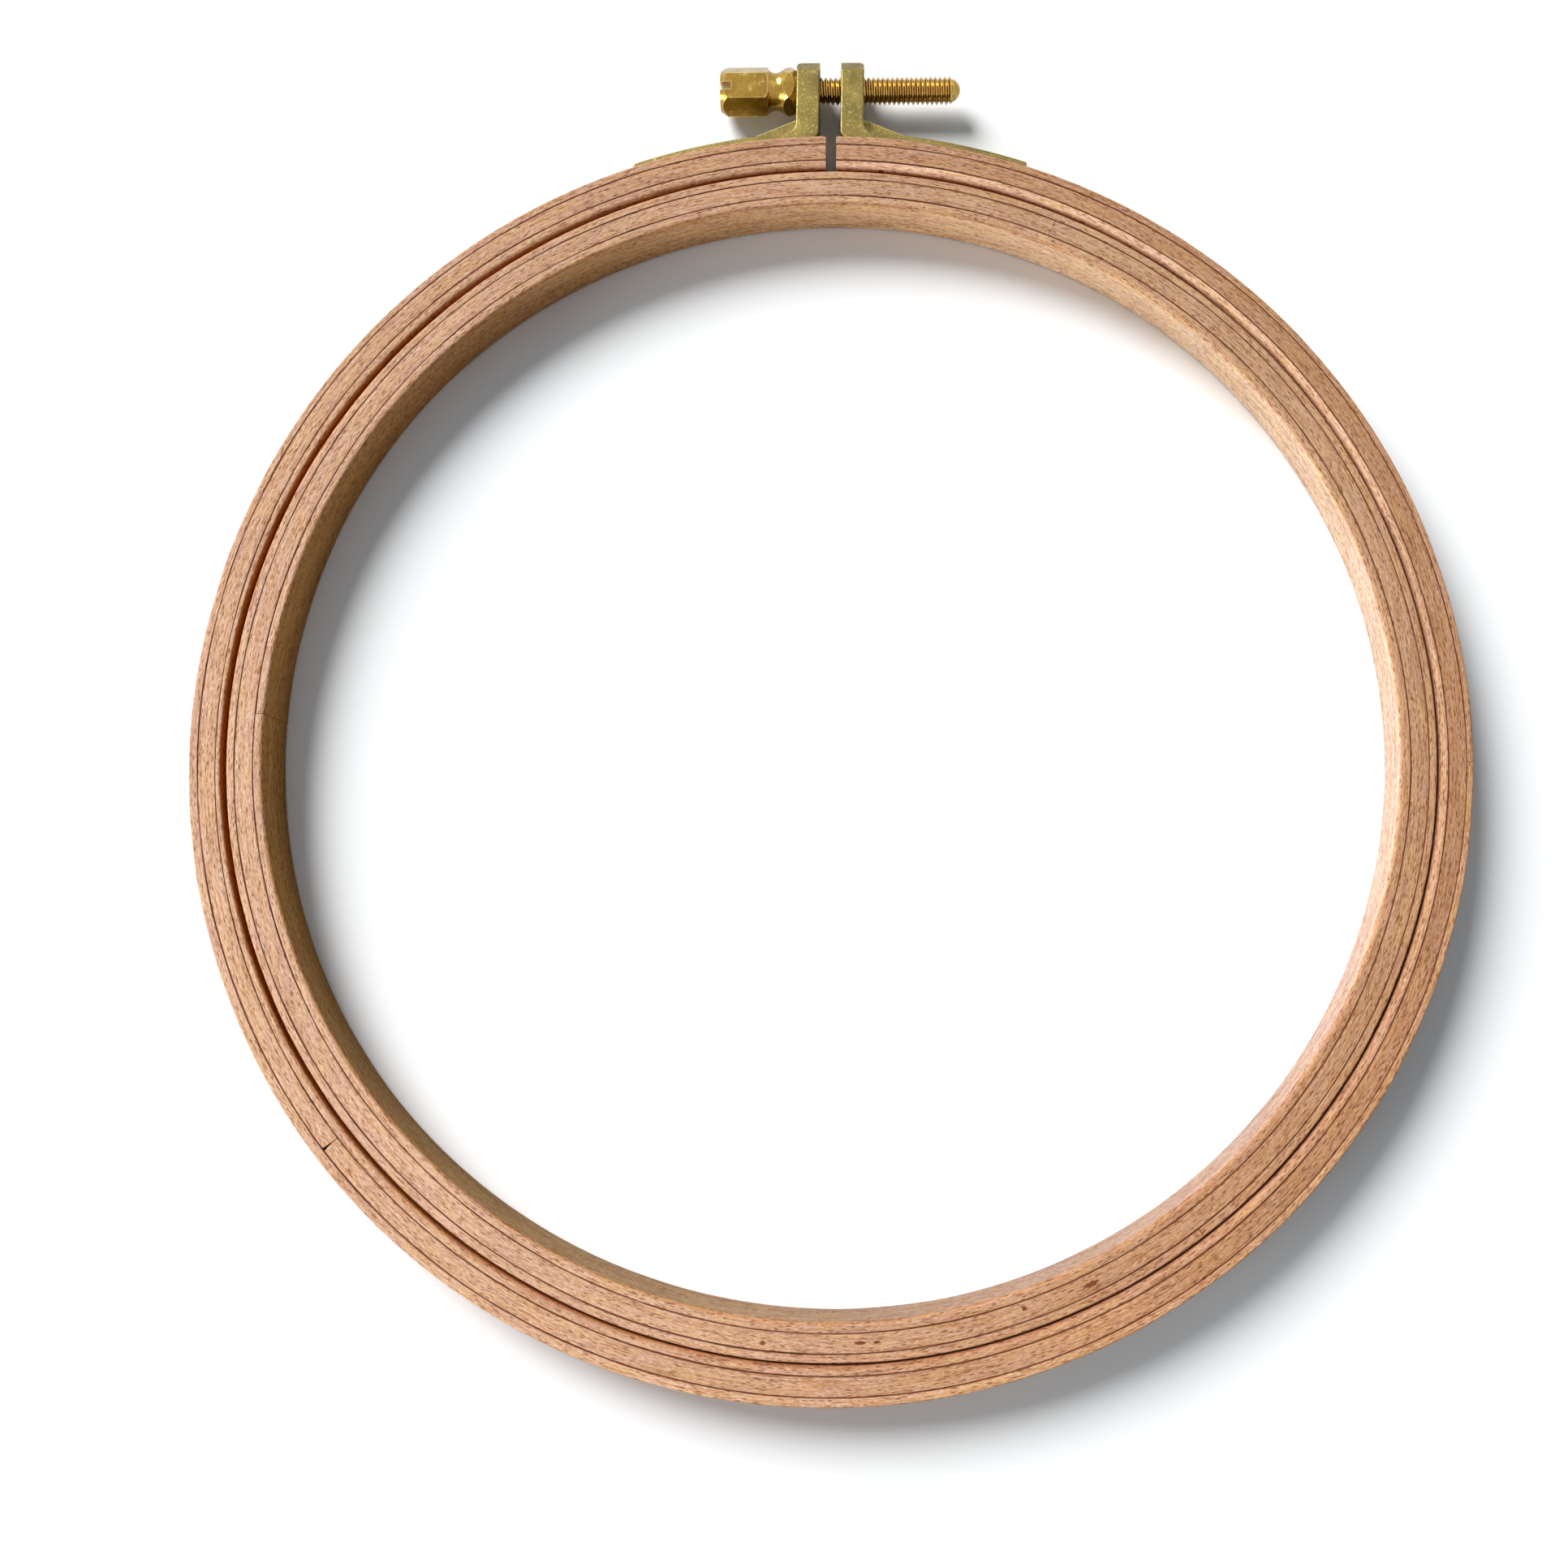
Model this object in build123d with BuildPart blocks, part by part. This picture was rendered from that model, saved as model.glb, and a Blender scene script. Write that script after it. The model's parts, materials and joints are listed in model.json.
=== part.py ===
from build123d import *
import math
import os

# The hoop lies flat: Z runs through both rings, +Y points at the clamp and +X lies to its right.
# The origin is the centre of the inner ring's opening, half way up the rings.
# Lengths are in millimetres. Angles are in degrees, counterclockwise from the clamp.

# Rings, ply by ply from the opening outwards
ring_height = 8.0
opening_diameter = 155.3
inner_lining = 1.4
inner_core = 2.55
inner_facing = 1.15
outer_lining = 1.15
outer_core = 2.5
outer_facing = 1.15
worn_edge = 0.95
eased_edge = 0.2
edge_limit_share = 0.85

# With the screw loose the rings have slack, and the outer ring lies shifted to one side
ring_slack = 0.5
ring_shift = 0.25

# The angle at which each bent strip meets its own end
inner_lining_angle = 88.5
inner_core_angle = 336.7
inner_facing_angle = 217.6
outer_lining_angle = 292.0
outer_core_angle = 131.0
outer_facing_angle = 268.2
butt_gap = 0.1

# The saw cut at the clamp, and the slit opposite it where the ring's bending is gathered
kerf = 1.5
flex_slit = 0.2

# Brackets: an ear that stands up beside the saw cut, a foot along the rim and a gusset between them
bracket_setback = 0.5
ear_gap = 3.1
ear_thickness = 3.4
ear_crown_wall = 1.05
ear_corner_round = 0.8
ear_bevel_drop = 2.0
ear_bevel_depth = 1.5
bend_round = 1.3
bend_fillet = 1.8
foot_thickness = 1.1
foot_tip_thickness = 0.85
foot_reach = 28.4
foot_tip_round = 0.5
gusset_height = 3.2
gusset_length = 13.0
gusset_thickness = 2.5
gusset_root_share = 0.45
bracket_edge_round = 0.25

# Pins through each foot, placed by how far they stand back from its tip, sideways as foot_reach is
pin_setbacks = (8.0, 3.4)
pin_diameter = 1.2
pin_head_diameter = 2.2
pin_countersink = 0.5
pin_head_rise = 0.15
pin_depth = 2.9
pin_point = 0.7

# Clamp screw, turned from hexagon bar
screw_height = 9.45
thread_diameter = 3.85
thread_pitch = 0.7
thread_depth = 0.42
thread_relief = 0.6
thread_relief_depth = 0.05
thread_reach = 19.15
thread_root_share = 0.06
thread_mouth_share = 0.44
groove_over_share = 0.12
spare_turns = 2
tip_dome = 1.0
ear_hole_clearance = 0.32
hex_sides = 6
hex_across_flats = 6.1
hex_turn = 13.8
collar_clearance = 0.05
collar_length = 2.25
collar_face_diameter = 5.7
collar_land = 0.2
neck_length = 1.95
neck_diameter = 5.2
head_length = 7.05
head_face_diameter = 5.5
head_bevel = 1.1
head_back_bevel = 0.3
slot_width = 1.05
slot_depth = 1.65

# Radii and places that follow from the sizes above
opening_radius = opening_diameter / 2
inner_seam_1 = opening_radius + inner_lining
inner_seam_2 = inner_seam_1 + inner_core
inner_rim = inner_seam_2 + inner_facing
outer_bore = inner_rim + ring_slack
outer_seam_1 = outer_bore + outer_lining
outer_seam_2 = outer_seam_1 + outer_core
rim_radius = outer_seam_2 + outer_facing
clamp_x = -ring_shift
outer_centre = (clamp_x, 0, 0)
clamp_plane = Plane.YZ.offset(clamp_x)
screw_y = rim_radius + screw_height
ear_hole_radius = thread_diameter / 2 + ear_hole_clearance
ear_top = screw_y + ear_hole_radius + ear_crown_wall
ear_inside = ear_gap / 2
ear_outside = ear_inside + ear_thickness
bracket_width = ring_height - 2 * bracket_setback
foot_angle = math.asin(foot_reach / rim_radius)
full_turn = math.degrees(math.tau)
half_turn = full_turn / 2

os.makedirs("parts", exist_ok=True)


def write(piece, label):
    piece.part.label = label
    export_step(piece.part, f"parts/{label}.step")


def section_plane(centre, angle):
    # The upright plane through a ring's axis, with its own x pointing outwards at the angle
    c, s = math.cos(math.radians(angle)), math.sin(math.radians(angle))
    return Plane(origin=centre, x_dir=(-s, c, 0), z_dir=(c, s, 0))


def write_strip(label, centre, inside, outside, start, end, inside_edge, outside_edge, cuts=()):
    # One ply's section, turned about the ring's axis from its start angle to its end angle
    limit = (outside - inside) * edge_limit_share
    with BuildPart() as strip:
        with BuildSketch(section_plane(centre, start)) as section:
            with Locations(((inside + outside) / 2, 0)):
                Rectangle(outside - inside, ring_height)
            if inside_edge:
                fillet(section.vertices().group_by(Axis.X)[0], min(inside_edge, limit))
            if outside_edge:
                fillet(section.vertices().group_by(Axis.X)[-1], min(outside_edge, limit))
        revolve(axis=Axis(centre, (0, 0, 1)), revolution_arc=end - start)
        for cut in cuts:
            add(cut.part, mode=Mode.SUBTRACT)
    write(strip, label)


def gap_angle(radius):
    return math.degrees(butt_gap / radius)


def clamp_point(radius, distance_angle):
    # A point to the right of the saw cut, by its radius and its angle from the cut in radians
    return (clamp_x + radius * math.sin(distance_angle), radius * math.cos(distance_angle))


def foot_height(distance_angle):
    # The foot thins evenly from the saw cut to its tip
    thinning = (foot_thickness - foot_tip_thickness) * distance_angle / foot_angle
    return foot_thickness - thinning


# Pins
with BuildPart() as pins_right:
    for setback in pin_setbacks:
        angle = math.asin((foot_reach - setback) / rim_radius)
        seat = rim_radius + foot_height(angle)
        head_radius = pin_head_diameter / 2
        dome = (head_radius**2 + pin_head_rise**2) / (2 * pin_head_rise)
        half_dome = math.asin(head_radius / dome) / 2
        dome_centre = seat + pin_head_rise - dome
        dome_middle = (dome_centre + dome * math.cos(half_dome), dome * math.sin(half_dome))
        end = rim_radius - pin_depth
        plane = section_plane(outer_centre, -math.degrees(angle))
        with BuildSketch(plane):
            with BuildLine():
                Polyline(
                    (seat + pin_head_rise, 0),
                    (end, 0),
                    (end + pin_point, pin_diameter / 2),
                    (seat - pin_countersink, pin_diameter / 2),
                    (seat, head_radius),
                )
                ThreePointArc((seat, head_radius), dome_middle, (seat + pin_head_rise, 0))
            make_face()
        revolve(axis=Axis(outer_centre, plane.x_dir))

with BuildPart() as pins_left:
    mirror(pins_right.part, about=clamp_plane)

# Saw cut and slit
with BuildPart() as saw_cuts:
    for width, side in ((kerf, 1), (flex_slit, -1)):
        with BuildSketch(Plane.XY):
            with Locations((clamp_x, side * rim_radius)):
                Rectangle(width, rim_radius)
        extrude(amount=ring_height, both=True)

# Inner ring: three closed strips
inner_plies = (
    ("inner_ring_lining", opening_radius, inner_seam_1, inner_lining_angle, worn_edge, 0),
    ("inner_ring_core", inner_seam_1, inner_seam_2, inner_core_angle, 0, 0),
    ("inner_ring_facing", inner_seam_2, inner_rim, inner_facing_angle, 0, eased_edge),
)
for label, inside, outside, start, inside_edge, outside_edge in inner_plies:
    end = start + full_turn - gap_angle(outside)
    write_strip(label, (0, 0, 0), inside, outside, start, end, inside_edge, outside_edge)

# Outer ring: each ply is in pieces between its butt joint, the saw cut and the slit
outer_plies = {
    "lining": (outer_bore, outer_seam_1, worn_edge, 0),
    "core": (outer_seam_1, outer_seam_2, 0, 0),
    "facing": (outer_seam_2, rim_radius, 0, eased_edge),
}
outer_strips = (
    ("lining", "left", 0, half_turn),
    ("lining", "lower_right", half_turn, outer_lining_angle),
    ("lining", "upper_right", outer_lining_angle, full_turn),
    ("core", "upper_left", 0, outer_core_angle),
    ("core", "lower_left", outer_core_angle, half_turn),
    ("core", "right", half_turn, full_turn),
    ("facing", "left", 0, half_turn),
    ("facing", "lower_right", half_turn, outer_facing_angle),
    ("facing", "upper_right", outer_facing_angle, full_turn),
)
for ply_name, place, start, end in outer_strips:
    inside, outside, inside_edge, outside_edge = outer_plies[ply_name]
    gap = gap_angle(outside) / 2
    first = start if start in (0, half_turn) else start + gap
    last = end if end in (half_turn, full_turn) else end - gap
    cuts = [saw_cuts]
    if ply_name != "lining" and start == 0:
        cuts.append(pins_left)
    if ply_name != "lining" and end == full_turn:
        cuts.append(pins_right)
    label = f"outer_ring_{ply_name}_{place}"
    write_strip(label, outer_centre, inside, outside, first, last, inside_edge, outside_edge, cuts)

# Brackets: the left one is the right one mirrored
ear_foot_angle = math.asin(ear_inside / rim_radius)
foot_start_radius = rim_radius + foot_thickness
foot_start_y = math.sqrt(foot_start_radius**2 - ear_outside**2)
foot_start_angle = math.atan2(ear_outside, foot_start_y)
middle_angle = (foot_start_angle + foot_angle) / 2
ear_foot = clamp_point(rim_radius, ear_foot_angle)
rim_middle = clamp_point(rim_radius, (ear_foot_angle + foot_angle) / 2)
foot_end = clamp_point(rim_radius, foot_angle)
foot_tip = clamp_point(rim_radius + foot_tip_thickness, foot_angle)
foot_middle = clamp_point(rim_radius + foot_height(middle_angle), middle_angle)
foot_start = (clamp_x + ear_outside, foot_start_y)
ear_corner = (clamp_x + ear_outside, ear_top)
gusset_root = foot_thickness * gusset_root_share
gusset_end_angle = math.asin((ear_outside + gusset_length) / foot_start_radius)
gusset_end_radius = rim_radius + foot_height(gusset_end_angle) - gusset_root

with BuildPart() as bracket_right:
    with BuildSketch(Plane.XY) as outline:
        with BuildLine():
            Polyline(ear_foot, (clamp_x + ear_inside, ear_top), ear_corner, foot_start)
            ThreePointArc(foot_start, foot_middle, foot_tip)
            Line(foot_tip, foot_end)
            ThreePointArc(foot_end, rim_middle, ear_foot)
        make_face()
        corner_rounds = (
            (ear_foot, bend_round),
            (foot_start, bend_fillet),
            (ear_corner, ear_corner_round),
            (foot_tip, foot_tip_round),
        )
        for corner, radius in corner_rounds:
            fillet(outline.vertices().sort_by_distance(corner)[0], radius)
    extrude(amount=bracket_width / 2, both=True)
    with BuildSketch(clamp_plane):
        for side in (1, -1):
            with BuildLine():
                Polyline(
                    (ear_top - ear_bevel_drop, side * bracket_width / 2),
                    (ear_top, side * bracket_width / 2),
                    (ear_top, side * (bracket_width / 2 - ear_bevel_depth)),
                    close=True,
                )
            make_face()
    extrude(amount=ear_outside, mode=Mode.SUBTRACT)
    for face in (faces().sort_by(Axis.Z)[0], faces().sort_by(Axis.Z)[-1]):
        fillet(face.edges().sort_by(SortBy.LENGTH)[:-1], bracket_edge_round)
    with BuildSketch(Plane.XY):
        with BuildLine():
            Polyline(
                (clamp_x + ear_outside - gusset_root, foot_start_y + gusset_height),
                (clamp_x + ear_outside, foot_start_y + gusset_height),
                clamp_point(gusset_end_radius, gusset_end_angle),
                (clamp_x + ear_outside - gusset_root, foot_start_y - gusset_root),
                close=True,
            )
        make_face()
    extrude(amount=gusset_thickness / 2, both=True)
    with BuildSketch(clamp_plane):
        with Locations((screw_y, 0)):
            Circle(ear_hole_radius)
    extrude(amount=ear_outside, mode=Mode.SUBTRACT)
    add(pins_right.part, mode=Mode.SUBTRACT)

with BuildPart() as bracket_left:
    mirror(bracket_right.part, about=clamp_plane)

# Clamp screw: its places along X, from the slotted end to the tip
collar_end = clamp_x - ear_outside - collar_clearance
collar_start = collar_end - collar_length
neck_start = collar_start - neck_length
head_start = neck_start - head_length
tip_end = clamp_x + thread_reach
thread_start = collar_end + thread_relief
thread_end = tip_end - tip_dome - thread_depth
axis_y = screw_y
corner_radius = hex_across_flats / 2 / math.cos(math.pi / hex_sides)
thread_radius = thread_diameter / 2
core_radius = thread_radius - thread_depth
relief_radius = core_radius - thread_relief_depth
dome_radius = (core_radius**2 + tip_dome**2) / (2 * tip_dome)
half_dome = math.asin(core_radius / dome_radius) / 2
dome_middle = (
    tip_end - dome_radius + dome_radius * math.cos(half_dome),
    axis_y + dome_radius * math.sin(half_dome),
)
neck_middle = (collar_start + neck_start) / 2
collar_middle = (collar_start + collar_end) / 2
screw_axis = Axis((0, axis_y, 0), (1, 0, 0))

# One turn of the thread's groove, wider at its mouth, which stands a little outside the crests
groove_over = thread_depth * groove_over_share
flank = (thread_mouth_share - thread_root_share) * thread_pitch / thread_depth
mouth = thread_mouth_share * thread_pitch + flank * groove_over
root = thread_root_share * thread_pitch
with BuildPart() as thread_turn:
    with BuildLine():
        helix = Helix(
            thread_pitch,
            thread_pitch,
            thread_radius,
            center=(thread_start - thread_pitch, axis_y, 0),
            direction=(1, 0, 0),
        )
    turn_start = helix @ 0
    outwards = turn_start - Vector(thread_start - thread_pitch, axis_y, 0)
    with BuildSketch(Plane(origin=turn_start, x_dir=outwards, z_dir=helix % 0)):
        with BuildLine():
            Polyline(
                (-thread_depth, -root),
                (groove_over, -mouth),
                (groove_over, mouth),
                (-thread_depth, root),
                close=True,
            )
        make_face()
    sweep(path=helix, is_frenet=True)

with BuildPart() as clamp_screw:
    with BuildSketch(Plane.YZ.offset(head_start)):
        with Locations((axis_y, 0)):
            RegularPolygon(hex_across_flats / 2, hex_sides, major_radius=False, rotation=hex_turn)
    extrude(amount=collar_end - head_start)
    with BuildSketch(Plane.XY):
        with BuildLine():
            Polyline(
                (neck_start, axis_y + hex_across_flats / 2),
                (neck_start, axis_y + corner_radius - head_back_bevel),
                (neck_start - head_back_bevel, axis_y + corner_radius),
                (head_start + head_bevel, axis_y + corner_radius),
                (head_start, axis_y + head_face_diameter / 2),
                (head_start, axis_y),
                (collar_end, axis_y),
                (collar_end, axis_y + collar_face_diameter / 2),
                (collar_middle + collar_land / 2, axis_y + corner_radius),
                (collar_middle - collar_land / 2, axis_y + corner_radius),
                (collar_start, axis_y + collar_face_diameter / 2),
            )
            ThreePointArc(
                (collar_start, axis_y + collar_face_diameter / 2),
                (neck_middle, axis_y + neck_diameter / 2),
                (neck_start, axis_y + hex_across_flats / 2),
            )
        make_face()
    revolve(axis=screw_axis, mode=Mode.INTERSECT)
    with BuildSketch(Plane.XY):
        with BuildLine():
            Polyline(
                (tip_end, axis_y),
                (collar_middle, axis_y),
                (collar_middle, axis_y + relief_radius),
                (thread_start, axis_y + relief_radius),
                (thread_start, axis_y + thread_radius),
                (thread_end, axis_y + thread_radius),
                (thread_end + thread_depth, axis_y + core_radius),
            )
            ThreePointArc(
                (thread_end + thread_depth, axis_y + core_radius),
                dome_middle,
                (tip_end, axis_y),
            )
        make_face()
    revolve(axis=screw_axis)
    with BuildSketch(Plane.YZ.offset(head_start)):
        with Locations((axis_y, 0)):
            Rectangle(slot_width, hex_across_flats * 2, rotation=hex_turn)
    extrude(amount=slot_depth, mode=Mode.SUBTRACT)
    turns = math.ceil((thread_end - thread_start) / thread_pitch) + spare_turns
    with Locations(*[(turn * thread_pitch, 0, 0) for turn in range(turns)]):
        add(thread_turn.part, mode=Mode.SUBTRACT)

pieces = {
    "pins_right": pins_right,
    "pins_left": pins_left,
    "bracket_right": bracket_right,
    "bracket_left": bracket_left,
    "clamp_screw": clamp_screw,
}
for label, piece in pieces.items():
    write(piece, label)
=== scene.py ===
import json
import math
from types import SimpleNamespace

import bpy
from mathutils import Matrix, Vector, noise


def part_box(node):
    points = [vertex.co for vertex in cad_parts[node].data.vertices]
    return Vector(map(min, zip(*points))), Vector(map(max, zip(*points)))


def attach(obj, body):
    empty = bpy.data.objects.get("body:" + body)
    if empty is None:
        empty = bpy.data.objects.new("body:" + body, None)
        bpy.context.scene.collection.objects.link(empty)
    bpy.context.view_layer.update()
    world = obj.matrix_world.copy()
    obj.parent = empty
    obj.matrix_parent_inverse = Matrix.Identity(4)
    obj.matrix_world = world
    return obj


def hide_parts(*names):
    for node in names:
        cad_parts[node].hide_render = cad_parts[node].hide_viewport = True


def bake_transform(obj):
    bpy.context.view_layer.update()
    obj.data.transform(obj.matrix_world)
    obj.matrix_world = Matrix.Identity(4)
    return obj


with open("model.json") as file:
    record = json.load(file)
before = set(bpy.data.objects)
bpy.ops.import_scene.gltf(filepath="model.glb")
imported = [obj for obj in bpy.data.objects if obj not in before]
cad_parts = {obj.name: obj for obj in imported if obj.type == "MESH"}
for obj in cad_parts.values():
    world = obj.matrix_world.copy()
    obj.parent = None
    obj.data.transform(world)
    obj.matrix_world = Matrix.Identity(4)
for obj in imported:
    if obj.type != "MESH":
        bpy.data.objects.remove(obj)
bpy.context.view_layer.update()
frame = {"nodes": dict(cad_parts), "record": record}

# Metres, in the part's own frame: Z through the rings, +Y to the clamp, +X to its right.
# Angles round the rings are in degrees, counterclockwise from the clamp.
mm = 0.001
half_turn = 180.0
full_turn = 360.0
white = (1.0, 1.0, 1.0)


# Sizes from the frame

def named(rows, name):
    return next(row for row in rows if row["name"] == name)


joints = frame["record"]["behaviour"]["joints"]
clamp_x = named(joints, "screw_turn")["pos_m"][0]
half_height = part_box("inner_ring_core")[1][2]
opening_radius = named(frame["record"]["mounts"], "opening")["dims"]["r_mm"] * mm
inner_seam_1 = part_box("inner_ring_lining")[1][0]
inner_seam_2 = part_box("inner_ring_core")[1][0]
inner_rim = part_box("inner_ring_facing")[1][0]
outer_seam_1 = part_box("outer_ring_lining_lower_right")[1][0] - clamp_x
outer_seam_2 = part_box("outer_ring_core_right")[1][0] - clamp_x
outer_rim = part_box("outer_ring_facing_upper_right")[1][0] - clamp_x
ring_slack = 0.5 * mm
outer_bore = inner_rim + ring_slack
inner_centre = Vector((0, 0, 0))
outer_centre = Vector((clamp_x, 0, 0))

# How the strips are finished: how far each edge's rounding reaches across the strip and down it
worn_edge = (0.85 * mm, 0.7 * mm)
crisp_edge = (0.45 * mm, 0.40 * mm)
opening_edge = (0.55 * mm, 0.45 * mm)
eased_edge = (0.22 * mm, 0.22 * mm)
seam_edge = (0.145 * mm, 0.12 * mm)
widest_rounding = 0.8  # of the strip's thickness
hairline = 0.07 * mm
open_joint = 0.38 * mm
open_joint_from = 85.0 * mm
kerf_left_back = (0.44 * mm, 0.52 * mm)
kerf_right_back = (1.06 * mm, 1.00 * mm)

# How finely they are swept: degrees between two sections, and steps round each section
sweep_step = 0.5
corner_steps = 5
face_steps = 5
wall_steps = 8
sharp_from = 38.0

# How uneven they are. A pace is how fast the noise runs: for each mm along the strip, for each ply or right
# across one, and for each mm up it.
ruffle_paces = (0.9, 4.0, 1.1)
ruffle_fine = 0.018 * mm
ruffle_broad = 0.04 * mm
ruffle_broad_pace = 0.13  # of the fine one's
ruffle_mid_face = 0.4  # of what it is at the walls
ruffle_upwards = 0.5
rise = 0.04 * mm
rise_paces = (0.05, 3, 1)
end_ruffle = 0.05 * mm
end_ruffle_pace = 3.0  # of the fine one's
patch = 0.10
patch_paces = (0.04, 9, 0)

# The angles at which each strip meets its own end, and where the bending arc starts and stops
inner_lining_angle = 88.5
inner_core_angle = 336.7
inner_facing_angle = 217.6
outer_lining_angle = 292.0
outer_core_angle = 131.0
outer_facing_angle = 268.2
flex_arc = 24.0
bend_start = half_turn - flex_arc
bend_end = half_turn + flex_arc

# The lines round the rings: the circle that each follows, and how far it strays from that, as waves in a
# turn, reach in mm and angle of a crest
line_radii = {
    "opening": opening_radius,
    "inner_seam_1": inner_seam_1,
    "inner_seam_2": inner_seam_2,
    "inner_rim": inner_rim,
    "outer_bore": outer_bore,
    "outer_seam_1": outer_seam_1,
    "outer_seam_2": outer_seam_2,
    "outer_rim": outer_rim,
}
line_waves = {
    "opening": ((2, 0.14, 93),),
    "inner_seam_1": ((1, 0.07, 326), (1, 0.09, 235), (2, 0.14, 92), (5, 0.05, 36)),
    "inner_seam_2": ((1, 0.08, 65), (1, 0.10, 225), (2, 0.15, 96), (5, 0.05, 39)),
    "inner_rim": ((1, 0.06, 170), (2, 0.10, 96)),
    "outer_bore": ((0, -0.12, 0), (2, 0.23, 95)),
    "outer_seam_1": ((1, 0.10, 330), (1, 0.10, 220), (3, 0.08, 17), (4, 0.08, 47), (5, 0.06, 45)),
    "outer_seam_2": ((1, 0.10, 240), (2, 0.04, 20), (3, 0.08, 34), (4, 0.08, 41)),
    "outer_rim": ((1, 0.16, 148), (2, 0.16, 172), (3, 0.09, 14), (4, 0.05, 38)),
}
# The opening's wall leans: its back edge strays this much more than its front edge
lean_waves = ((0, 0.15, 0), (1, 0.65, 307), (4, 0.10, 48), (5, 0.08, 48))

# Colour round the rings, as multipliers of the wood's own colour: mostly painted light and shade, with some
# of the wood's own tone. A side is the angle where something is at its most, and how sharply it falls off to
# both hands.
all_round = (0, 0)
# Painted shade on the fronts: darker away from their lit side, and darker and warmer round the ruddy side
front_shade_tint = (0.66, 0.60, 0.51)
front_lit_side = (122, 1)
ruddy_shade = (0.92, 0.82, 0.71)
ruddy_shade_side = (225, 4)
# The opening's wall: paler all round, its own side grain, with painted shade on the side away from the light
wall_tone_and_shade = (
    ((1.16, 1.28, 1.32), all_round),
    ((0.40, 0.53, 0.96), (157, 1)),
    ((1.37, 0.88, 0.26), (112, 1)),
)
# Painted shade in a band where the opening's wall rounds into the front
wall_edge_shade = (0.88, 0.70, 0.50)
wall_edge_shade_sides = ((140, 1), (5, 6))
wall_edge_shade_least = 0.4
# Painted shade towards the back of the opening's wall
wall_back_shade = (0.55, 0.50, 0.38)
wall_back_shade_side = (80, 2)
wall_back_shade_from = 0.3
# Painted shade in the gap between the rings: warm with painted bounce from the wood on one side, dark
# elsewhere
gap_warm_shade = (0.78, 0.46, 0.13)
gap_dark_shade = (0.36, 0.17, 0.12)
gap_warm_shade_side = (75, 1.5)
gap_shade_full = 1.3 * mm
gap_shade_gone = 3.8 * mm
gap_shade_deep = 0.12
# Painted light: each ply is brighter towards its own lit side
glow_sharpness = 3
pinker, paler = (0.97, 0.96, 0.98), (1.32, 1.38, 1.45)
# How sharply a wall's colour gives way to the front's round the edge, at its least and at its crisp side
wall_sharpness = 3.0
gap_sharpness = (1.3, 4.5)
gap_crisp_side = (275, 3)
# Where the outer ring's inner edge is crisp instead of worn
edge_crisp_side = (85, 1)


# Small helpers

def direction(angle):
    a = math.radians(angle)
    return Vector((-math.sin(a), math.cos(a), 0))


def waves(table, angle):
    return mm * sum(reach * math.cos(math.radians(count * (angle - crest))) for count, reach, crest in table)


def noise_at(paces, along, across, up):
    return Vector((along * paces[0], across * paces[1], up * paces[2]))


def between(a, b, share):
    return tuple(p + (q - p) * share for p, q in zip(a, b))


def tinted(*colours):
    return tuple(math.prod(parts) for parts in zip(*colours))


def bulge(angle, side):
    # 1 at the side's own angle, and 0 opposite it unless the side is all round
    crest, sharpness = side
    return (0.5 + 0.5 * math.cos(math.radians(angle - crest))) ** sharpness


# Materials

speck_fade = 0.12
noise_middle = 0.5


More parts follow.
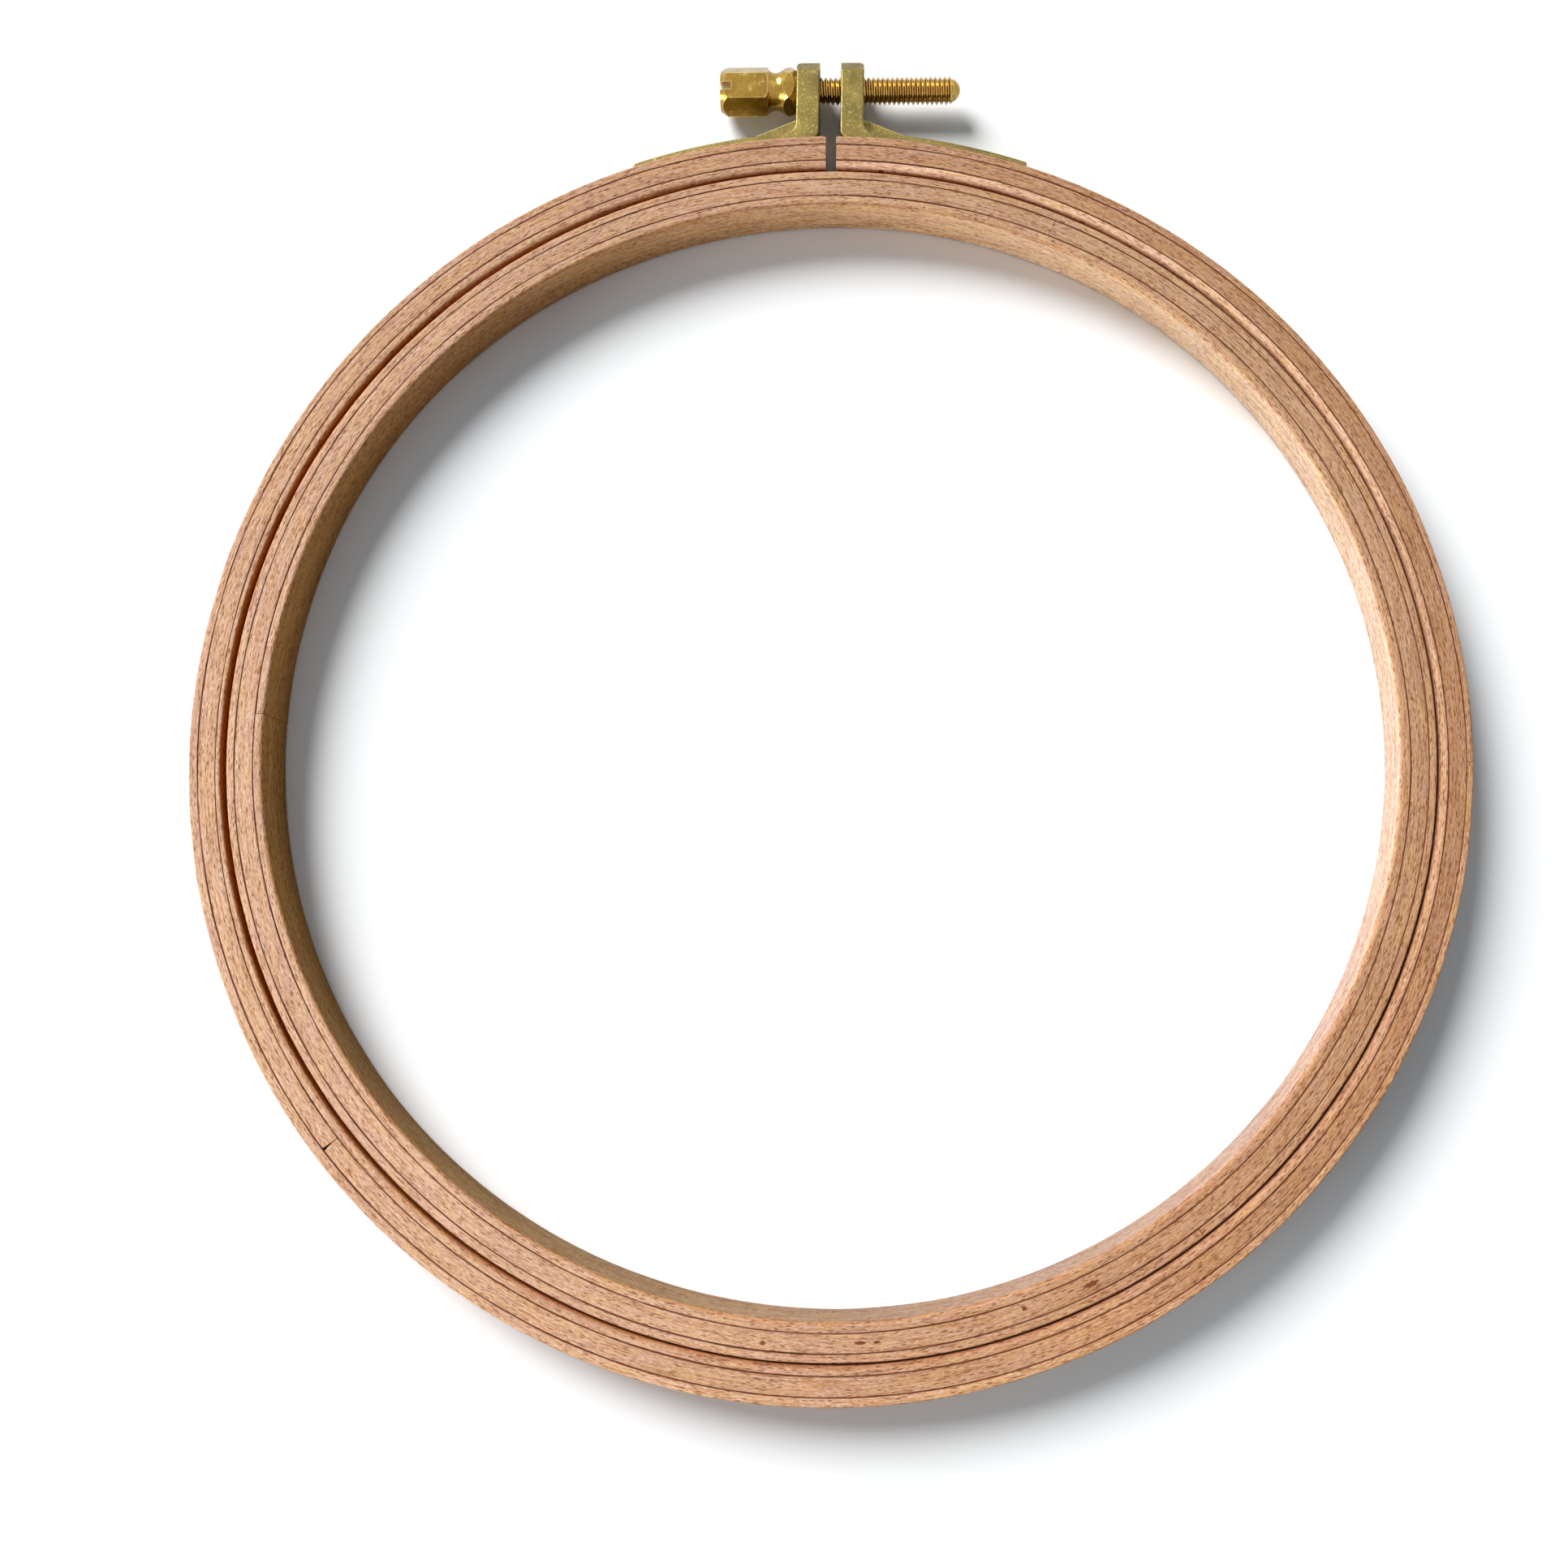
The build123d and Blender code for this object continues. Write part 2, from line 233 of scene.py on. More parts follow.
class Tree:
    # A node tree, with a short call for each kind of node that the materials use

    def __init__(self, tree):
        self.nodes = tree.nodes
        self.links = tree.links

    def plug(self, socket, value):
        # A number or a colour is set on the socket, and another node's output is linked to it
        if isinstance(value, (int, float)):
            socket.default_value = value
        elif isinstance(value, tuple):
            socket.default_value = (*value, 1) if len(socket.default_value) == 4 else value
        else:
            self.links.new(value, socket)

    def maths(self, operation, a, b):
        node = self.nodes.new("ShaderNodeMath")
        node.operation = operation
        self.plug(node.inputs[0], a)
        self.plug(node.inputs[1], b)
        return node.outputs[0]

    def vector(self, operation, a, b=None):
        node = self.nodes.new("ShaderNodeVectorMath")
        node.operation = operation
        self.plug(node.inputs[0], a)
        if b is not None:
            self.plug(node.inputs[1], b)
        return node.outputs["Value" if operation in ("LENGTH", "DOT_PRODUCT") else "Vector"]

    def ramp(self, factor, *stops):
        node = self.nodes.new("ShaderNodeValToRGB")
        for element, (place, value) in zip(node.color_ramp.elements, stops):
            element.position = place
            element.color = (value, value, value, 1)
        self.plug(node.inputs["Fac"], factor)
        return node.outputs["Color"]

    def mix(self, factor, a, b, blend="MIX"):
        # A Mix node has inputs of the same name for every kind of data, so its colours go by number
        node = self.nodes.new("ShaderNodeMix")
        node.data_type = "RGBA"
        node.blend_type = blend
        for number, value in ((0, factor), (6, a), (7, b)):
            self.plug(node.inputs[number], value)
        return node.outputs[2]

    def attribute(self, name, output):
        node = self.nodes.new("ShaderNodeAttribute")
        node.attribute_name = name
        return node.outputs[output]

    def stretched(self, coords, scale, seed):
        node = self.nodes.new("ShaderNodeMapping")
        self.plug(node.inputs["Scale"], scale)
        self.plug(node.inputs["Location"], (seed, seed * 0.7, seed * 1.3))
        self.plug(node.inputs["Vector"], coords)
        return node.outputs["Vector"]

    def clouds(self, coords, scale, detail, roughness, seed):
        # Cloudy noise, with its own scale on each axis
        node = self.nodes.new("ShaderNodeTexNoise")
        self.plug(node.inputs["Scale"], 1.0)
        self.plug(node.inputs["Detail"], detail)
        self.plug(node.inputs["Roughness"], roughness)
        self.plug(node.inputs["Vector"], self.stretched(coords, scale, seed))
        return node.outputs["Fac"]

    def specks(self, coords, size, edge, kept, seed):
        # Small long specks, one in each cell of this size; only the cells above kept have one
        node = self.nodes.new("ShaderNodeTexVoronoi")
        self.plug(node.inputs["Scale"], 1.0)
        self.plug(node.inputs["Vector"], self.stretched(coords, tuple(1 / d for d in size), seed))
        near = self.ramp(node.outputs["Distance"], (edge[0], 1.0), (edge[1], 0.0))
        chosen = self.ramp(node.outputs["Color"], (kept, 0.0), (kept + speck_fade, 1.0))
        return self.maths("MULTIPLY", near, chosen)

    def bump(self, height, strength, distance):
        node = self.nodes.new("ShaderNodeBump")
        self.plug(node.inputs["Strength"], strength)
        self.plug(node.inputs["Distance"], distance)
        self.plug(node.inputs["Height"], height)
        return node.outputs["Normal"]


def new_material(name):
    # A material, its node tree and the inputs of its shader
    material = bpy.data.materials.new(name)
    material.use_nodes = True
    return material, Tree(material.node_tree), material.node_tree.nodes["Principled BSDF"].inputs


# Beech, on the strip's own coordinates in mm: along the grain, across the strip and up it.
# Clouds: scale on each axis, detail, roughness and a step of the seed
wood_clouds = {
    "broad": ((0.05, 0.5, 0.5), 2.0, 0.55, 0),
    "streak": ((0.16, 4.2, 3.4), 4.0, 0.62, 11),
    "mottle": ((0.9, 3.4, 2.8), 4.0, 0.65, 23),
    "fuzz": ((1.7, 5.2, 4.2), 2.0, 0.5, 29),
    "blush": ((0.22, 0.8, 0.8), 3.0, 0.6, 61),
    "glue": ((0.35, 0.6, 0.6), 3.0, 0.6, 71),
}
# Specks: cell size, where a speck's edge fades, the level that a cell has to pass to have one and a step of
# the seed
wood_specks = {
    "dashes": ((1.15, 0.21, 0.24), (0.16, 0.46), 0.42, 37),
    "fine": ((0.55, 0.16, 0.16), (0.10, 0.42), 0.50, 43),
    "flecks": ((4.0, 1.0, 1.2), (0.09, 0.22), 0.72, 53),
    "fibres": ((0.8, 0.20, 0.2), (0.12, 0.44), 0.50, 83),
}
# The ground's two kinds of shade: what each follows, from where to where, and its tint at those two ends
wood_shades = (
    ("broad", 0.30, 0.70, (0.96, 0.93, 0.90), (1.04, 1.04, 1.04)),
    ("blush", 0.38, 0.60, (1.03, 1.00, 0.90), (0.98, 0.95, 1.04)),
)
# Layers of colour over the ground: what each follows, its strength at two values of that, its colour and how
# it is laid on
wood_layers = (
    ("streak", (0.36, 0.90), (0.56, 0.0), (0.68, 0.55, 0.45), "MULTIPLY"),
    ("mottle", (0.33, 0.85), (0.52, 0.0), (0.76, 0.62, 0.52), "MULTIPLY"),
    ("fuzz", (0.55, 0.0), (0.74, 0.65), (0.98, 0.74, 0.53), "MIX"),
    ("fibres", (0.0, 0.0), (1.0, 0.45), (0.99, 0.78, 0.58), "MIX"),
    ("fine", (0.0, 0.0), (1.0, 0.60), (0.58, 0.42, 0.32), "MULTIPLY"),
    ("dashes", (0.0, 0.0), (1.0, 0.90), (0.42, 0.27, 0.19), "MULTIPLY"),
)
# Shares of each in the height that the bump follows, on top of the mottle's own
wood_heights = (("streak", 0.6), ("fuzz", 0.5), ("dashes", -0.5))
fleck_colour = (0.25, 0.066, 0.026)
fleck_strength = 0.55
mark_inside, mark_outside = 0.75, 1.05
glue_colour = (0.115, 0.021, 0.006)
glue_strength = ((0.30, 0.85), (0.50, 1.0))
wood_roughness = ((0.3, 0.74), (0.7, 0.58))
wood_gloss = 0.12
wood_bump = (0.7, 0.12 * mm)


def wood_flecks(tree, coords, looks, marks):
    # Scattered ray flecks, and the marks that stand out, each an ellipse with a ragged edge
    flecks = tree.maths("MULTIPLY", looks["flecks"], fleck_strength)
    ragged = tree.maths("SUBTRACT", looks["fuzz"], noise_middle)
    for x, y, length, width, strength in marks:
        place = tree.vector("SUBTRACT", coords, (x, y, 0.0))
        place = tree.vector("MULTIPLY", place, (2 / length, 2 / width, 0.0))
        near = tree.maths("ADD", tree.vector("LENGTH", place), ragged)
        mark = tree.ramp(near, (mark_inside, strength), (mark_outside, 0.0))
        flecks = tree.maths("MAXIMUM", flecks, mark)
    return flecks


def wood(name, colour, seed, marks):
    # Steamed beech: pinkish tan with fine dark vessel dashes, pale fuzz and reddish ray flecks
    material, tree, inputs = new_material(name)
    coords = tree.attribute("grain", "Vector")
    looks = {}
    for key, (scale, detail, roughness, step) in wood_clouds.items():
        looks[key] = tree.clouds(coords, scale, detail, roughness, seed + step)
    for key, (size, edge, kept, step) in wood_specks.items():
        looks[key] = tree.specks(coords, size, edge, kept, seed + step)

    base = colour
    for key, start, end, at_start, at_end in wood_shades:
        shade = tree.mix(tree.ramp(looks[key], (start, 0.0), (end, 1.0)), at_start, at_end)
        base = tree.mix(1.0, base, shade, "MULTIPLY")
    for key, low, high, layer, blend in wood_layers:
        base = tree.mix(tree.ramp(looks[key], low, high), base, layer, blend)
    base = tree.mix(wood_flecks(tree, coords, looks, marks), base, fleck_colour)
    # The cast attribute holds the painted light and shade round the rings, with the wood's own tone
    base = tree.mix(1.0, base, tree.attribute("cast", "Color"), "MULTIPLY")
    dark = tree.maths("MULTIPLY", tree.attribute("seam", "Fac"), tree.ramp(looks["glue"], *glue_strength))
    tree.plug(inputs["Base Color"], tree.mix(dark, base, glue_colour))

    height = looks["mottle"]
    for key, share in wood_heights:
        height = tree.maths("ADD", height, tree.maths("MULTIPLY", looks[key], share))
    tree.plug(inputs["Roughness"], tree.ramp(looks["mottle"], *wood_roughness))
    tree.plug(inputs["Specular IOR Level"], wood_gloss)
    tree.plug(inputs["Normal"], tree.bump(height, *wood_bump))
    return material


# Brass. A grain is in lumps per metre, and a cloud has a detail and a roughness.
brass_highlight_edge = 0.22 * mm
brass_cast_cloud = (4.0, 0.65)
brass_stain_cloud = (3.0, 0.6)
brass_stain_grain = 260
brass_bump = (0.6, 0.05 * mm)


def brass(name, colour, dull, bright, roughness, metal, grain, seed):
    # Brass: dull in the hollows of its grain, with a painted highlight along the edges
    material, tree, inputs = new_material(name)
    coords = tree.nodes.new("ShaderNodeTexCoord").outputs["Object"]
    cast = tree.clouds(coords, (grain,) * 3, *brass_cast_cloud, seed)
    stain = tree.clouds(coords, (brass_stain_grain,) * 3, *brass_stain_cloud, seed + 9)
    bevel = tree.nodes.new("ShaderNodeBevel")
    bevel.samples = 6
    tree.plug(bevel.inputs["Radius"], brass_highlight_edge)
    facing_out = tree.nodes.new("ShaderNodeNewGeometry").outputs["Normal"]
    along = tree.vector("DOT_PRODUCT", bevel.outputs["Normal"], facing_out)
    base = colour
    for follows, low, high, layer in (
        (stain, (0.35, 0.0), (0.70, 1.0), dull),
        (cast, (0.32, 0.90), (0.50, 0.0), dull),
        (cast, (0.56, 0.0), (0.72, 0.7), bright),
        # Painted highlight along the rounded edges, where the bevel's normal turns from the face's
        (along, (0.90, 0.95), (0.995, 0.0), bright),
    ):
        base = tree.mix(tree.ramp(follows, low, high), base, layer)
    smooth, rough = roughness
    tree.plug(inputs["Base Color"], base)
    tree.plug(inputs["Roughness"], tree.ramp(cast, (0.3, rough), (0.7, smooth)))
    tree.plug(inputs["Metallic"], metal)
    tree.plug(inputs["Normal"], tree.bump(cast, *brass_bump))
    return material


# Bent strips. Their grain runs along x = angle * grain_radius, with a jump of its own for each ply.

grain_radius = 80.0
ply_jump = 900.0
lining, core, facing = 1, 2, 3


def grain_x(angle, ply_number):
    return math.radians(angle) * grain_radius + ply_jump * ply_number


def marks_at(table, starts=None):
    # Where a strip's own start angle is past a mark, the mark is on the strip's next turn
    places = []
    for number, angle, radius, length, width, strength in table:
        past = starts is not None and angle < starts[number]
        places.append((grain_x(angle + (full_turn if past else 0), number), radius, length, width, strength))
    return places


# Ray flecks and a nick that stand out: ply, angle, radius, length, width (mm) and strength
inner_marks = marks_at((
    (core, 206.5, 80.3, 2.3, 0.75, 0.95),
    (core, 184.3, 80.15, 1.7, 0.60, 0.95),
    (core, 185.9, 80.2, 1.2, 0.36, 0.95),
    (core, 192.2, 80.0, 1.0, 0.3, 0.7),
    (core, 194.6, 80.6, 0.9, 0.28, 0.7),
    (core, 175.3, 80.6, 0.8, 0.6, 0.9),
    (core, 199.9, 79.85, 0.8, 0.6, 0.9),
    (core, 252.6, 80.4, 1.3, 0.4, 0.6),
    (core, 247.5, 80.5, 1.0, 0.35, 0.6),
    (facing, 217.8, 82.2, 0.9, 0.25, 0.8),
    (facing, 229.9, 82.2, 0.8, 0.25, 0.7),
), {lining: inner_lining_angle, core: inner_core_angle, facing: inner_facing_angle})
outer_marks = marks_at((
    (lining, 292.8, 83.9, 1.6, 0.4, 0.55),
    (lining, 306.4, 83.9, 1.3, 0.35, 0.55),
    (lining, 327.9, 83.8, 1.3, 0.4, 0.55),
    (lining, 354.8, 83.0, 1.0, 0.45, 1.0),
    (facing, 252.0, 87.4, 1.0, 0.3, 0.5),
    (core, 228.0, 85.4, 1.1, 0.3, 0.5),
))
outer_wood = wood("beech_outer", (0.785, 0.50, 0.325), 3.0, outer_marks)
inner_wood = wood("beech_inner", (0.795, 0.52, 0.35), 41.0, inner_marks)
bracket_brass = brass("bracket_brass", (0.240, 0.180, 0.048), (0.13, 0.10, 0.030), (0.58, 0.48, 0.21),
                      (0.36, 0.52), 0.9, 3200, 5.0)
screw_brass = brass("screw_brass", (0.48, 0.30, 0.062), (0.30, 0.175, 0.032), (0.86, 0.62, 0.25),
                    (0.12, 0.28), 0.95, 900, 17.0)


def corner(inside, front, thickness, reach, glued):
    # One rounded corner of a strip's section, from its wall to its face. Each point is its share across the
    # thickness, its height, how dark its glue is, and how far it belongs to the inside or the outside wall.
    across, down = min(reach[0], widest_rounding * thickness), reach[1]
    points = []
    for step in range(corner_steps):
        turned = math.radians(90 * step / (corner_steps - 1))
        share = across * (1 - math.cos(turned)) / thickness
        height = half_height - down + down * math.sin(turned)
        wall = math.cos(turned)
        points.append((
            share if inside else 1 - share, height if front else -height,
            glued * math.sqrt(wall), wall if inside else 0, 0 if inside else wall,
        ))
    return points


def section(ply, edge_in):
    # A strip's section: inside wall's front end, front face, outside wall, back face, inside wall
    thickness = ply.outside - ply.inside
    turns = []
    for inside, front in ((True, True), (False, True), (False, False), (True, False)):
        reach, glued = (edge_in, ply.glued_in) if inside else (ply.edge_out, ply.glued_out)
        turn = corner(inside, front, thickness, reach, glued)
        turns.append(turn[::-1] if inside != front else turn)
    outline = []
    for number, turn in enumerate(turns):
        last, following = turn[-1], turns[(number + 1) % 4][0]
        steps = face_steps if number % 2 == 0 else wall_steps
        outline += turn
        outline += [between(last, following, k / steps) for k in range(1, steps)]
    return outline


# Painted shade on the fronts, by angle round the ring
def front_painted_shade(angle):
    light = between(front_shade_tint, white, bulge(angle, front_lit_side))
    return tinted(light, between(white, ruddy_shade, bulge(angle, ruddy_shade_side)))


# The opening's wall: its own paler tone, with painted shade by angle
def opening_tone_and_shade(angle):
    return tinted(*(between(white, tint, bulge(angle, side)) for tint, side in wall_tone_and_shade))


# Painted shade in the gap between the rings, by angle
def gap_painted_shade(angle):
    return tinted(front_painted_shade(angle), between(gap_dark_shade, gap_warm_shade, bulge(angle, gap_warm_shade_side)))


def station(ply, angle):
    # What one whole section of a strip shares: its two lines, its lean, how crisp it is and its colours,
    # with their painted light and shade
    if ply.leans:
        lean, sharpness = waves(lean_waves, angle), wall_sharpness
    else:
        blunt, crisp = gap_sharpness
        lean, sharpness = 0.0, blunt + (crisp - blunt) * bulge(angle, gap_crisp_side)
    light = 1 + patch * noise.noise(noise_at(patch_paces, grain_x(angle, ply.number), ply.number, 0))
    # Painted light, brighter towards the ply's lit side; the random patch of tone above goes on it too
    glow = between(white, ply.glow, bulge(angle, (ply.glow_side, glow_sharpness)))
    return SimpleNamespace(
        angle=angle, lean=lean, sharpness=sharpness, crispness=bulge(angle, edge_crisp_side),
        r_in=ply.inside + waves(line_waves[ply.line_in], angle),
        r_out=ply.outside + waves(line_waves[ply.line_out], angle),
        front=front_painted_shade(angle), inner=ply.cast_in(angle), outer=ply.cast_out(angle),
        glow=tinted(glow, (light, light, light)),
    )


def opening_painted_shade(here, z, back, wall_in):
    # Painted shade on the opening's wall: darker towards its back, and darker where it rounds into the front
    down = max(0.0, back - wall_back_shade_from) / (1 - wall_back_shade_from)
    deep = wall_in * down * bulge(here.angle, wall_back_shade_side)
    edge_shaded = max(bulge(here.angle, side) for side in wall_edge_shade_sides)
    edge_shade = 4 * wall_in * (1 - wall_in) * (wall_edge_shade_least + (1 - wall_edge_shade_least) * edge_shaded) if z > 0 else 0.0
    return tinted(between(white, wall_back_shade, deep), between(white, wall_edge_shade, edge_shade))


def point_cast(ply, here, z, back, wall_in, wall_out):
    # The colour of one point, from its section's front and walls, with their painted light and shade
    wall_in, wall_out = wall_in ** here.sharpness, wall_out ** here.sharpness
    # The gap's painted shade fades down the wall, where only a lifted ring shows it
    fade = (gap_shade_gone - (half_height - z)) / (gap_shade_gone - gap_shade_full)
    gap_shaded = min(1.0, max(gap_shade_deep, fade))
    colour = between(here.front, here.inner, wall_in if ply.leans else wall_in * gap_shaded)
    colour = between(colour, here.outer, wall_out * gap_shaded)
    if ply.leans:
        colour = tinted(colour, opening_painted_shade(here, z, back, wall_in))
    return tinted(colour, here.glow)


def end_shift(cut, middle, r, place):
    # How much further a cut end stands back at a radius than in the strip's middle, in degrees
    if cut is None:
        return 0.0
    return math.degrees((cut(r) - cut(middle) + end_ruffle * noise.noise(place * end_ruffle_pace)) / r)


def add_strip_mesh(name, vertices, around, material, layers):
    # A tube of sections with this many points each, closed at both ends
    last = len(vertices) - around
    faces = [
        (row + i, row + (i + 1) % around, row + around + (i + 1) % around, row + around + i)
        for row in range(0, last, around) for i in range(around)
    ]
    faces.append(tuple(reversed(range(around))))
    faces.append(tuple(range(last, last + around)))
    mesh = bpy.data.meshes.new(name)
    mesh.from_pydata(vertices, [], faces)
    for key, kind, field, values in layers:
        mesh.attributes.new(key, kind, "POINT").data.foreach_set(field, values)
    mesh.materials.append(material)
    mesh.shade_smooth()
    mesh.set_sharp_from_angle(angle=math.radians(sharp_from))
    mesh.update()
    piece = bpy.data.objects.new(name, mesh)
    bpy.context.scene.collection.objects.link(piece)
    return piece


def strip(name, centre, ply, start, end, material, start_cut, end_cut, tint=white):
    # One ply of a ring from one angle to another. A cut says how far the end stands back at a radius, and
    # an end without one meets the next strip of the same ply.
    middle = (ply.inside + ply.outside) / 2
    first = start + (math.degrees(start_cut(middle) / middle) if start_cut else 0.0)
    last = end - (math.degrees(end_cut(middle) / middle) if end_cut else 0.0)
    count = max(2, round((last - first) / sweep_step))
    worn, crisp = section(ply, ply.edge_in), section(ply, ply.edge_crisp)
    vertices, grain, seam, cast = [], [], [], []
    for k in range(count + 1):
        here = station(ply, first + (last - first) * k / count)
        along = grain_x(here.angle, ply.number)
        outline = (between(*pair, here.crispness) for pair in zip(worn, crisp))
        for share, z, glued, wall_in, wall_out in outline:
            back = (half_height - z) / (2 * half_height)
            low = here.r_in + here.lean * back
            place = noise_at(ruffle_paces, along, share, z / mm)
            ruffle = ruffle_fine * noise.noise(place) + ruffle_broad * noise.noise(place * ruffle_broad_pace)
            ruffled = ruffle * (ruffle_mid_face + (1 - ruffle_mid_face) * abs(2 * share - 1))
            r = low + (here.r_out - low) * share + ruffled
            at = here.angle
            if k == 0:
                at += end_shift(start_cut, middle, r, place)
            if k == count:
                at -= end_shift(end_cut, middle, r, place)
            point = centre + direction(at) * r
            point.z = z
            if z > 0:
                risen = rise * noise.noise(noise_at(rise_paces, along, ply.number, z / mm))
                point.z += risen + ruffle_upwards * ruffle
            vertices.append(point)
            grain.extend((grain_x(at, ply.number), r / mm, z / mm))
            seam.append(glued)
            # The point's colour, with its painted light and shade
            cast.extend((*tinted(point_cast(ply, here, z, back, wall_in, wall_out), tint), 1.0))
    return add_strip_mesh(name, vertices, len(worn), material, (
        ("grain", "FLOAT_VECTOR", "vector", grain),
        ("seam", "FLOAT", "value", seam),
        ("cast", "FLOAT_COLOR", "color", cast),
    ))


def make_ply(number, lines, edges, glued, **looks):
    # A ply. Its lines and its glue are given inside first, then outside, and its edges are the inside one
    # where it is worn, the same where it is crisp, and the outside one.
    plain = dict(cast_in=front_painted_shade, cast_out=front_painted_shade, leans=False, glow=white, glow_side=0)
    return SimpleNamespace(
        number=number, line_in=lines[0], line_out=lines[1],
        inside=line_radii[lines[0]], outside=line_radii[lines[1]],
        edge_in=edges[0], edge_crisp=edges[1], edge_out=edges[2], glued_in=glued[0], glued_out=glued[1],
        **{**plain, **looks},
    )


def hairline_cut(r):
    # A closed joint shows as a hairline, and each of its ends stands back by half of that
    return hairline / 2


# Inner ring

inner_plies = {
    "lining": make_ply(lining, ("opening", "inner_seam_1"), (opening_edge, opening_edge, seam_edge), (0, 1),
                       cast_in=opening_tone_and_shade, leans=True, glow=(1.18, 1.24, 1.26), glow_side=310),
    "core": make_ply(core, ("inner_seam_1", "inner_seam_2"), (seam_edge, seam_edge, seam_edge), (1, 1),
                     glow=(1.10, 1.18, 1.24), glow_side=300),
    "facing": make_ply(facing, ("inner_seam_2", "inner_rim"), (seam_edge, seam_edge, eased_edge), (1, 0),
                       cast_out=gap_painted_shade, glow=(1.14, 1.20, 1.20), glow_side=300),
}
inner_joints = (("lining", inner_lining_angle), ("core", inner_core_angle), ("facing", inner_facing_angle))
for label, start in inner_joints:
    piece = strip(f"inner_{label}", inner_centre, inner_plies[label], start, start + full_turn, inner_wood,
                  hairline_cut, hairline_cut)
    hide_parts(f"inner_ring_{label}")
    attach(piece, "inner_ring")


# Outer ring

outer_plies = {
    "lining": make_ply(lining, ("outer_bore", "outer_seam_1"), (worn_edge, crisp_edge, seam_edge), (0, 1),
                       cast_in=gap_painted_shade, glow=(1.30, 1.45, 1.65), glow_side=290),
    "core": make_ply(core, ("outer_seam_1", "outer_seam_2"), (seam_edge, seam_edge, seam_edge), (1, 1)),
    "facing": make_ply(facing, ("outer_seam_2", "outer_rim"), (seam_edge, seam_edge, eased_edge), (1, 0),
                       glow=(1.20, 1.28, 1.28), glow_side=235),
}


def kerf_side(at_bore, at_rim):
    # One side of the saw cut, by its distance from the clamp's middle at the bore and at the rim
    def cut(r):
        return at_bore + (at_rim - at_bore) * (r - outer_bore) / (outer_rim - outer_bore)
    return cut


def open_cut(r):
    # The core's own joint stands open at its outer edge and closes inwards
    return max(hairline / 2, open_joint / 2 * (r - open_joint_from) / (outer_seam_2 - open_joint_from))


kerf_left = kerf_side(*kerf_left_back)
kerf_right = kerf_side(*kerf_right_back)
outer_strips = (
    ("lining", "left", 0, bend_start, kerf_left, None),
    ("lining", "bottom", bend_start, bend_end, None, None),
    ("lining", "lower_right", bend_end, outer_lining_angle, None, hairline_cut),
    ("lining", "upper_right", outer_lining_angle, full_turn, hairline_cut, kerf_right),
    ("core", "upper_left", 0, outer_core_angle, kerf_left, open_cut),
    ("core", "lower_left", outer_core_angle, bend_start, open_cut, None),
    ("core", "bottom", bend_start, bend_end, None, None),
    ("core", "right", bend_end, full_turn, None, kerf_right),
    ("facing", "left", 0, bend_start, kerf_left, None),
    ("facing", "bottom", bend_start, bend_end, None, None),
    ("facing", "lower_right", bend_end, outer_facing_angle, None, hairline_cut),
    ("facing", "upper_right", outer_facing_angle, full_turn, hairline_cut, kerf_right),
)
outer_tints = {("lining", "upper_right"): paler, ("facing", "upper_right"): pinker}
for label, place, start, end, start_cut, end_cut in outer_strips:
    piece = strip(f"outer_{label}_{place}", outer_centre, outer_plies[label], start, end, outer_wood,
                  start_cut, end_cut, outer_tints.get((label, place), white))
    if place == "bottom":
        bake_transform(piece)
    else:
        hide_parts(f"outer_ring_{label}_{place}")
        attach(piece, "left_half" if "left" in place else "right_half")


# Hardware

for label, material in (
    ("bracket_left", bracket_brass), ("bracket_right", bracket_brass),
    ("pins_left", bracket_brass), ("pins_right", bracket_brass), ("clamp_screw", screw_brass),
):
    node = frame["nodes"][label]
    node.data.materials.clear()
    node.data.materials.append(material)


# Floor and world: white to the eye, but dimmer in the light that they throw on the object

floor_light = (0.30, 0.27, 0.24)
ambient_light = (0.218, 0.24, 0.256)
floor_reach = 4.0


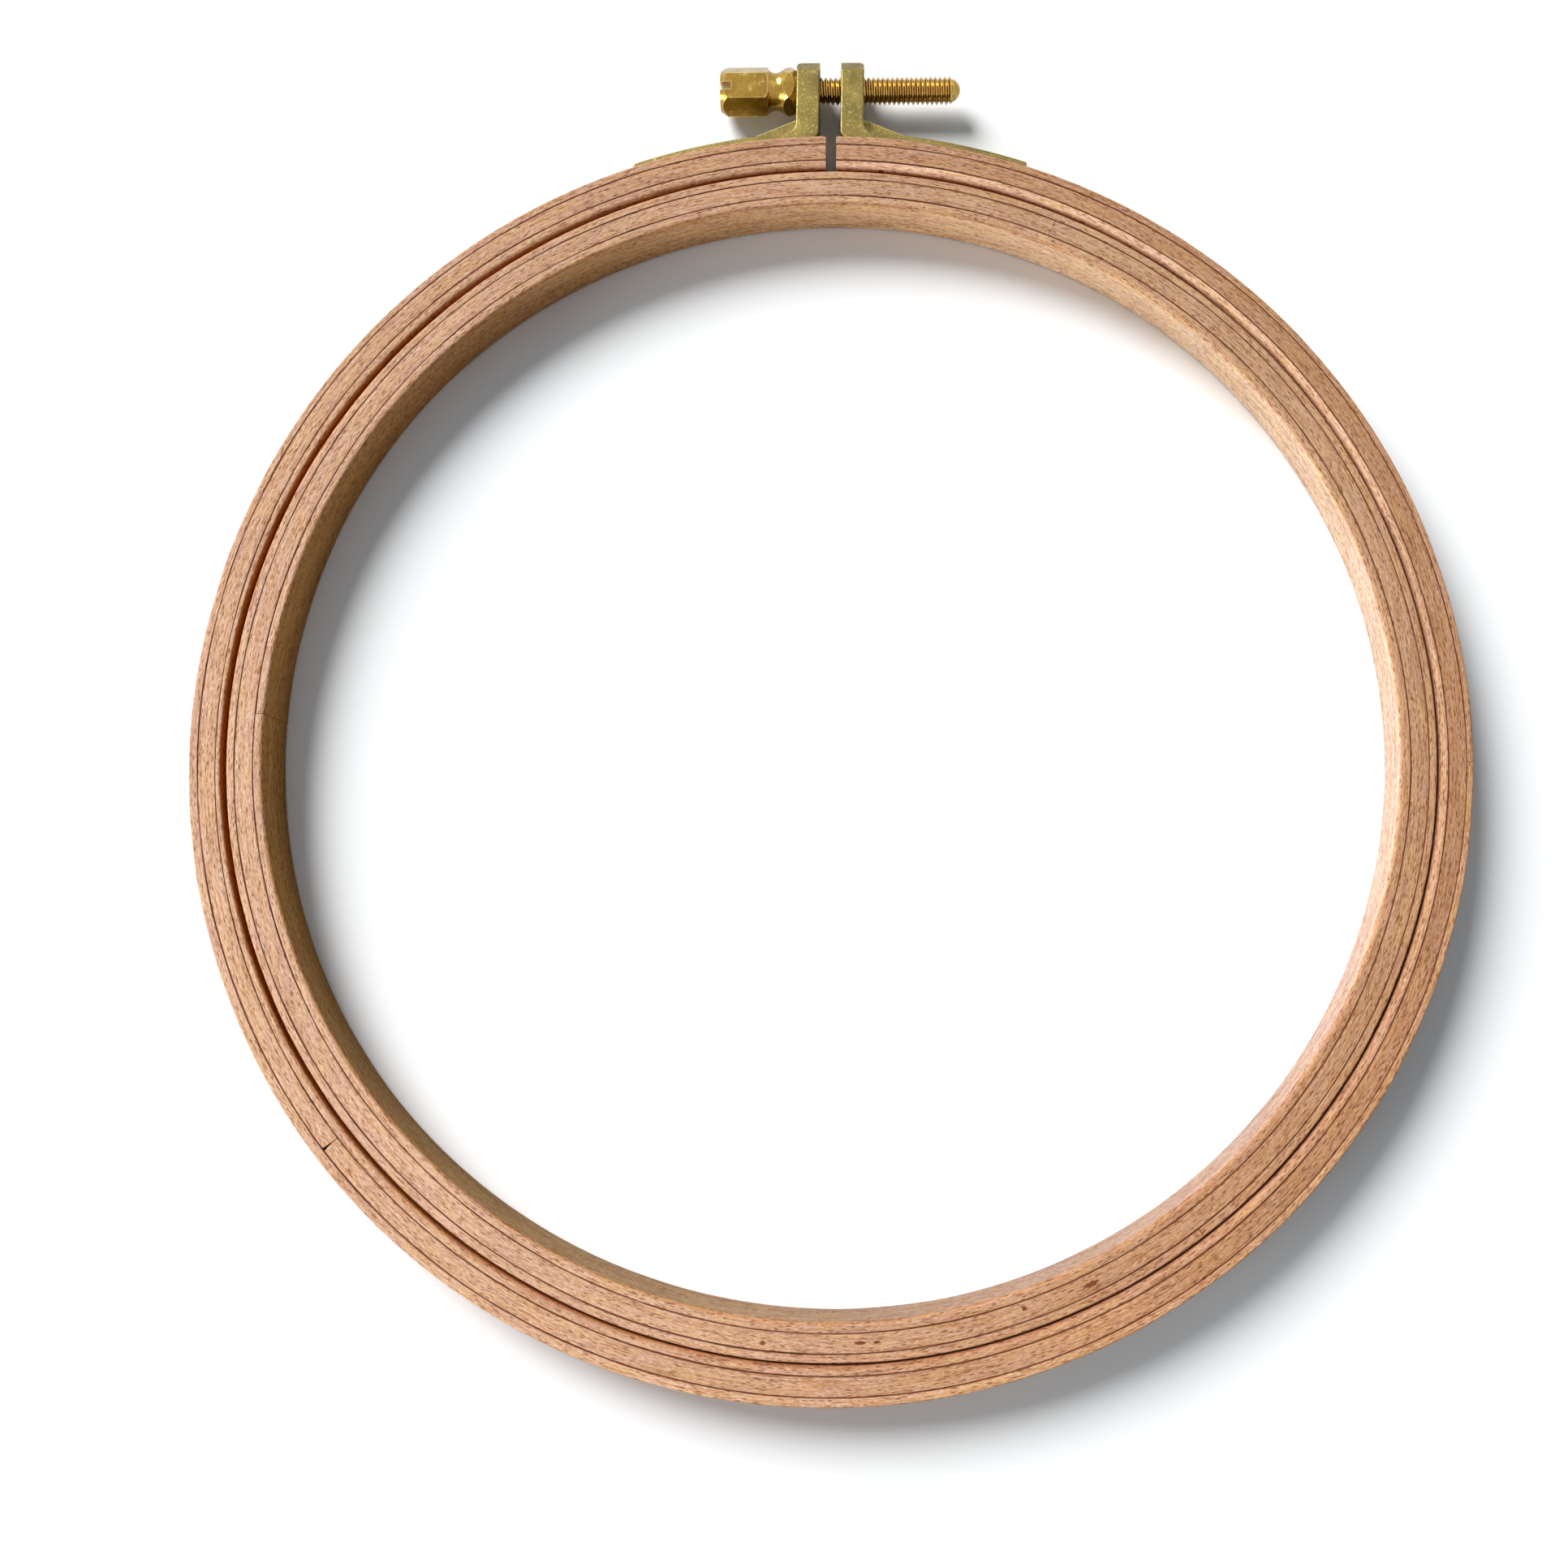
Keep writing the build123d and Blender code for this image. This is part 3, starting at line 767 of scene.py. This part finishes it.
def white_to_the_eye(tree, lit):
    rays = tree.nodes.new("ShaderNodeLightPath").outputs
    seen = tree.maths("MAXIMUM", rays["Is Camera Ray"], rays["Is Glossy Ray"])
    seen = tree.maths("MAXIMUM", seen, rays["Is Transmission Ray"])
    return tree.mix(seen, lit, white)


def add_floor():
    left, right = -floor_reach, floor_reach
    square = ((left, left), (right, left), (right, right), (left, right))
    mesh = bpy.data.meshes.new("floor")
    mesh.from_pydata([(x, y, -half_height) for x, y in square], [], [(0, 1, 2, 3)])
    material, tree, inputs = new_material("floor_white")
    tree.plug(inputs["Base Color"], white_to_the_eye(tree, floor_light))
    tree.plug(inputs["Roughness"], 0.9)
    tree.plug(inputs["Specular IOR Level"], 0.0)
    mesh.materials.append(material)
    floor = bpy.data.objects.new("floor", mesh)
    bpy.context.scene.collection.objects.link(floor)


add_floor()
world = bpy.data.worlds.new("studio")
bpy.context.scene.world = world
world.use_nodes = True
world_tree = Tree(world.node_tree)
world_tree.plug(world_tree.nodes["Background"].inputs["Color"], white_to_the_eye(world_tree, ambient_light))


# Lamps

def sun(name, towards, strength, angle):
    lamp = bpy.data.lights.new(name, "SUN")
    lamp.energy = strength
    lamp.angle = math.radians(angle)
    holder = bpy.data.objects.new(name, lamp)
    holder.rotation_euler = Vector(towards).to_track_quat("Z", "Y").to_euler()
    bpy.context.scene.collection.objects.link(holder)


sun("key", (-0.55, 0.58, 0.60), 4.25, 32)
sun("side", (-0.84, -0.54, 0.05), 3.0, 28)


# Camera, at the photo's place: its own right, up and forward directions in the part's frame

frame_pixels = 1932
focal_pixels = 1900
camera_at = Vector((3.83, -36.41, 212.22)) * mm
camera_right = Vector((0.99902, 0.01795, -0.04041))
camera_forward = Vector((-0.04253, 0.14007, -0.98923))
camera_up = camera_right.cross(camera_forward)
camera_data = bpy.data.cameras.new("camera")
camera_data.sensor_width = 36
camera_data.lens = camera_data.sensor_width * focal_pixels / frame_pixels
camera_data.clip_start = 10 * mm
camera = bpy.data.objects.new("camera", camera_data)
turn = Matrix((camera_right, camera_up, -camera_forward)).transposed()
camera.matrix_world = Matrix.Translation(camera_at) @ turn.to_4x4()
bpy.context.scene.collection.objects.link(camera)
bpy.context.scene.camera = camera
bpy.context.scene.view_settings.view_transform = "Standard"
